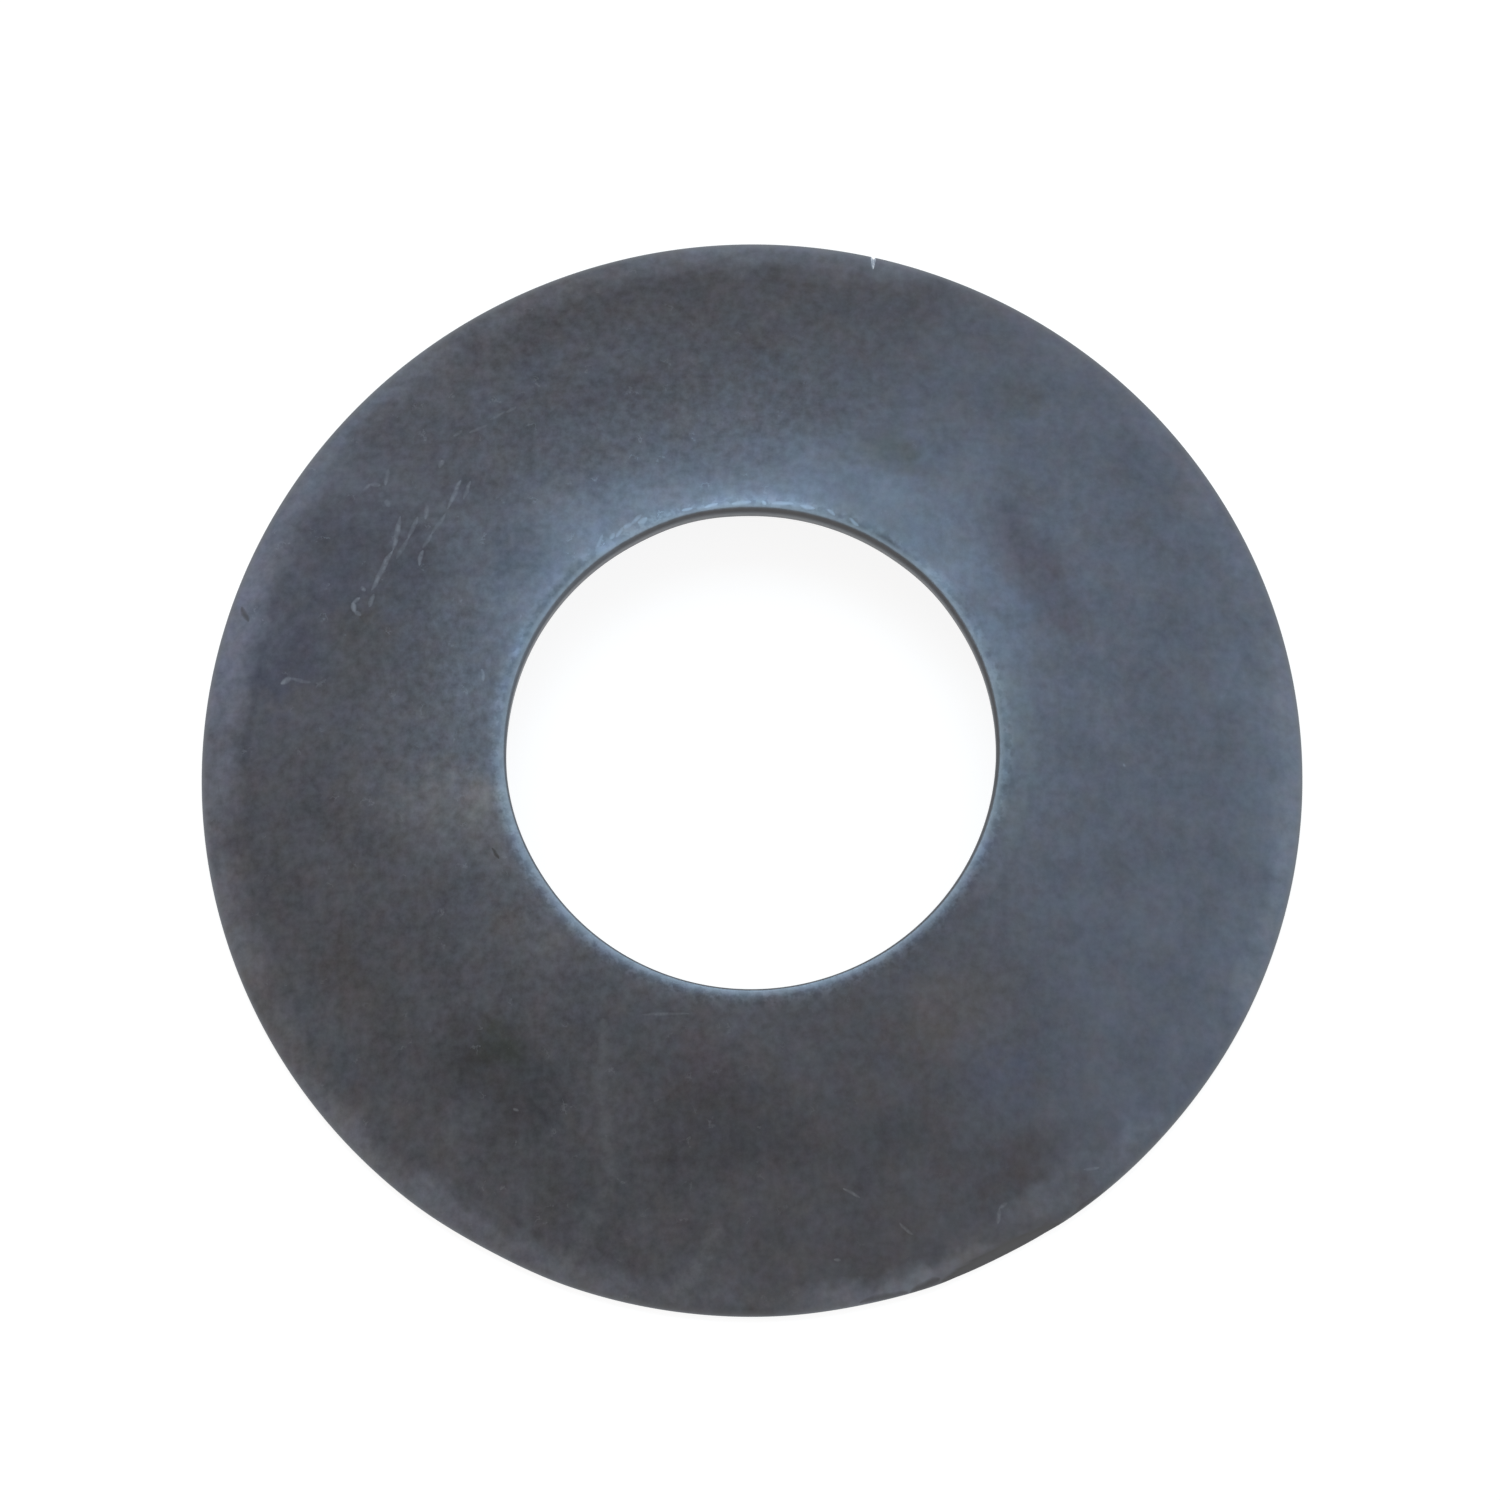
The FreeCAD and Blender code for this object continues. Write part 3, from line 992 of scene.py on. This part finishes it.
class WASHER_OT_press_ring(bpy.types.Operator):
    """Builds the dished ring with its worn oxide finish and its painted light and shade"""

    bl_idname = "washer.press_ring"
    bl_label = "Press the ring"

    def execute(self, context):
        scene = context.scene
        mesh = ring_mesh(scene.washer_sizes, scene.washer_wear)
        mesh.materials.append(oxide_material(scene.oxide_finish))
        ring = bpy.data.objects.new("pressed_ring", mesh)
        scene.collection.objects.link(ring)
        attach(ring, BODY)
        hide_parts(NODE)
        return {"FINISHED"}


# Stage


def floor_material(stage):
    """Pale floor that shows white to the camera and in the metal, and keeps a faint shadow."""
    material = bpy.data.materials.new("pale_floor")
    material.use_nodes = True
    material.node_tree.nodes.clear()
    bench = Bench(material.node_tree)
    output = bench.put("ShaderNodeOutputMaterial")
    pale = bench.put("ShaderNodeBsdfDiffuse")
    pale.inputs["Color"].default_value = rgba(FLOOR_PALE)
    glow = bench.put("ShaderNodeEmission")
    glow.inputs["Strength"].default_value = stage.floor_glow
    faint = bench.put("ShaderNodeBsdfDiffuse")
    faint.inputs["Color"].default_value = rgba(FLOOR_SHADOW_PALE)
    white = bench.put("ShaderNodeAddShader")
    bench.feed(white.inputs[0], glow.outputs[0])
    bench.feed(white.inputs[1], faint.outputs[0])
    path = bench.put("ShaderNodeLightPath")
    seen = bench.maths("MAXIMUM", path.outputs["Is Camera Ray"], path.outputs["Is Glossy Ray"])
    seen = bench.maths("MAXIMUM", seen, path.outputs["Is Transmission Ray"])
    shown = bench.put("ShaderNodeMixShader")
    bench.feed(shown.inputs[0], seen)
    bench.feed(shown.inputs[1], pale.outputs[0])
    bench.feed(shown.inputs[2], white.outputs[0])

    # From below the floor lets the hollow side be seen
    sided = bench.put("ShaderNodeMixShader")
    bench.feed(sided.inputs[0], bench.put("ShaderNodeNewGeometry").outputs["Backfacing"])
    bench.feed(sided.inputs[1], shown.outputs[0])
    bench.feed(sided.inputs[2], bench.put("ShaderNodeBsdfTransparent").outputs[0])
    bench.feed(output.inputs["Surface"], sided.outputs[0])
    return material


def add_floor(scene, stage):
    """Plain pale floor under the ring."""
    signs = ((-1.0, -1.0), (1.0, -1.0), (1.0, 1.0), (-1.0, 1.0))
    corners = [(x * FLOOR_HALF, y * FLOOR_HALF, 0.0) for x, y in signs]
    mesh = bpy.data.meshes.new("floor")
    mesh.from_pydata(corners, [], [(0, 1, 2, 3)])
    mesh.materials.append(floor_material(stage))
    floor = bpy.data.objects.new("floor", mesh)
    floor.location.z = -FLOOR_DROP
    scene.collection.objects.link(floor)


def add_softbox(scene, name, zenith, azimuth, width, height, level, tone):
    """Softbox aimed at the ring; its width runs level."""
    lamp = bpy.data.lights.new(name, "AREA")
    lamp.shape = "RECTANGLE"
    lamp.size = width
    lamp.size_y = height
    lamp.energy = level * math.pi * width * height
    lamp.color = tone
    away = spoke(math.radians(azimuth)) * math.sin(math.radians(zenith))
    away.z = math.cos(math.radians(zenith))
    holder = bpy.data.objects.new(name, lamp)
    holder.location = away * SOFTBOX_DISTANCE
    holder.rotation_euler = away.to_track_quat("Z", "Y").to_euler()
    holder.visible_camera = False
    scene.collection.objects.link(holder)


def add_world(scene, stage):
    """Plain warm grey surroundings."""
    world = bpy.data.worlds.new("surroundings")
    world.use_nodes = True
    plain = world.node_tree.nodes["Background"]
    plain.inputs["Color"].default_value = rgba(WORLD_TONE)
    plain.inputs["Strength"].default_value = stage.world_level
    scene.world = world


def add_camera(scene, stage):
    """Camera at the photograph's viewing angle."""
    lens = bpy.data.cameras.new("camera")
    lens.sensor_width = SENSOR_WIDTH
    lens.lens = stage.lens
    lens.clip_start = CLIP_START
    lens.clip_end = CLIP_END
    camera = bpy.data.objects.new("camera", lens)
    turn = Matrix.Rotation(stage.camera_tilt, 4, "X") @ Matrix.Rotation(stage.camera_roll, 4, "Z")
    backwards = turn @ Vector((0.0, 0.0, stage.camera_distance))
    camera.matrix_world = Matrix.Translation(Vector(CAMERA_AIM) + backwards) @ turn
    scene.collection.objects.link(camera)
    scene.camera = camera


class WASHER_OT_set_stage(bpy.types.Operator):
    """Sets up the pale floor, the soft light and the camera"""

    bl_idname = "washer.set_stage"
    bl_label = "Set the stage"

    def execute(self, context):
        scene = context.scene
        stage = scene.washer_stage
        scene.view_settings.view_transform = "Standard"
        add_camera(scene, stage)
        add_floor(scene, stage)
        add_world(scene, stage)
        for softbox in SOFTBOXES:
            add_softbox(scene, *softbox)
        return {"FINISHED"}


class WASHER_PT_panel(bpy.types.Panel):
    """Sizes, wear, finish and stage of the thrust washer"""

    bl_label = "Thrust washer"
    bl_space_type = "VIEW_3D"
    bl_region_type = "UI"
    bl_category = "Thrust washer"

    def draw(self, context):
        scene = context.scene
        self.layout.operator(WASHER_OT_set_stage.bl_idname)
        self.layout.operator(WASHER_OT_press_ring.bl_idname)
        for group in (scene.washer_sizes, scene.washer_wear, scene.oxide_finish, scene.washer_stage):
            box = self.layout.box()
            for name in group.__annotations__:
                box.prop(group, name)


GROUPS = {
    "washer_sizes": WasherSizes,
    "washer_wear": WasherWear,
    "oxide_finish": OxideFinish,
    "washer_stage": StageSettings,
}
CLASSES = (*GROUPS.values(), WASHER_OT_press_ring, WASHER_OT_set_stage, WASHER_PT_panel)


def register():
    """Registers the classes and hangs the settings on the scene."""
    for item in CLASSES:
        bpy.utils.register_class(item)
    for name, item in GROUPS.items():
        setattr(bpy.types.Scene, name, bpy.props.PointerProperty(type=item))


def unregister():
    """Takes back what register did."""
    for name in GROUPS:
        delattr(bpy.types.Scene, name)
    for item in reversed(CLASSES):
        bpy.utils.unregister_class(item)


def main():
    """Builds the stage and the ring."""
    register()
    bpy.ops.washer.set_stage()
    bpy.ops.washer.press_ring()


if __name__ == "__main__":
    main()
